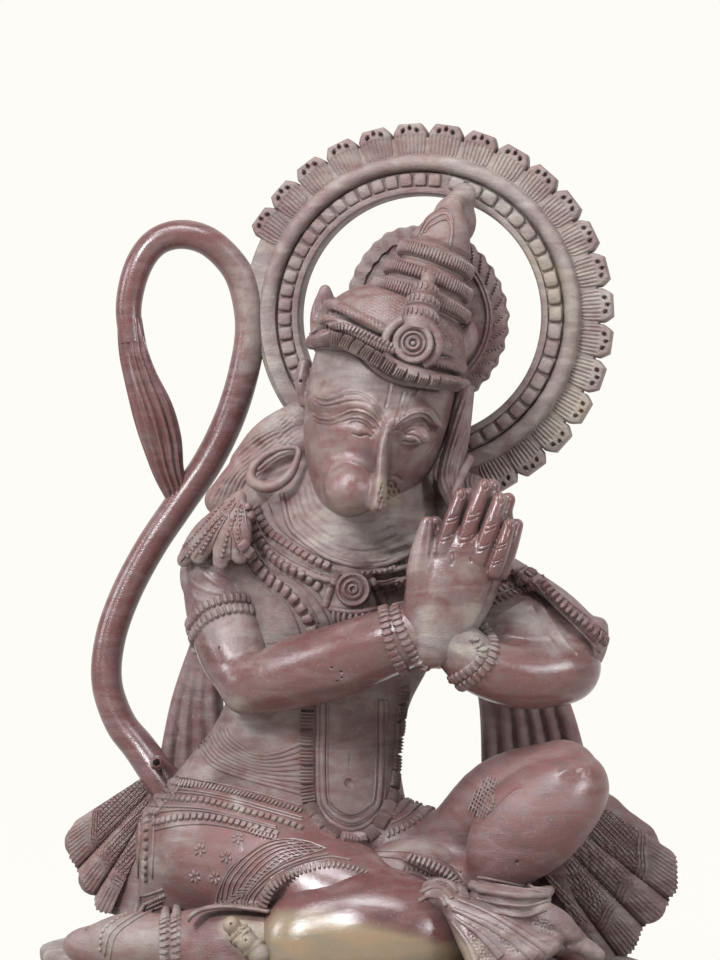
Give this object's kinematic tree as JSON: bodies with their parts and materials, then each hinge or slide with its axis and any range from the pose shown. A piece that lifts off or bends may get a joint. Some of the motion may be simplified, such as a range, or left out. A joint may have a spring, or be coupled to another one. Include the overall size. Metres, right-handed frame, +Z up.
{
  "type": "carved stone figure",
  "caption": "Carved soapstone figure of a kneeling monkey deity with joined hands, looped tail and petalled halo, in one piece with its low oval plinth.",
  "frame": {"origin": "middle of the plinth's flat underside", "axes": "+Z up, -Y towards the viewer in front of the figure, +X to that viewer's right"},
  "size_m": [0.3204, 0.2006, 0.4404],
  "materials": {
    "soapstone": "satin"
  },
  "bodies": {
    "root": {"hanuman_figure": "soapstone"}
  },
  "joints": []
}
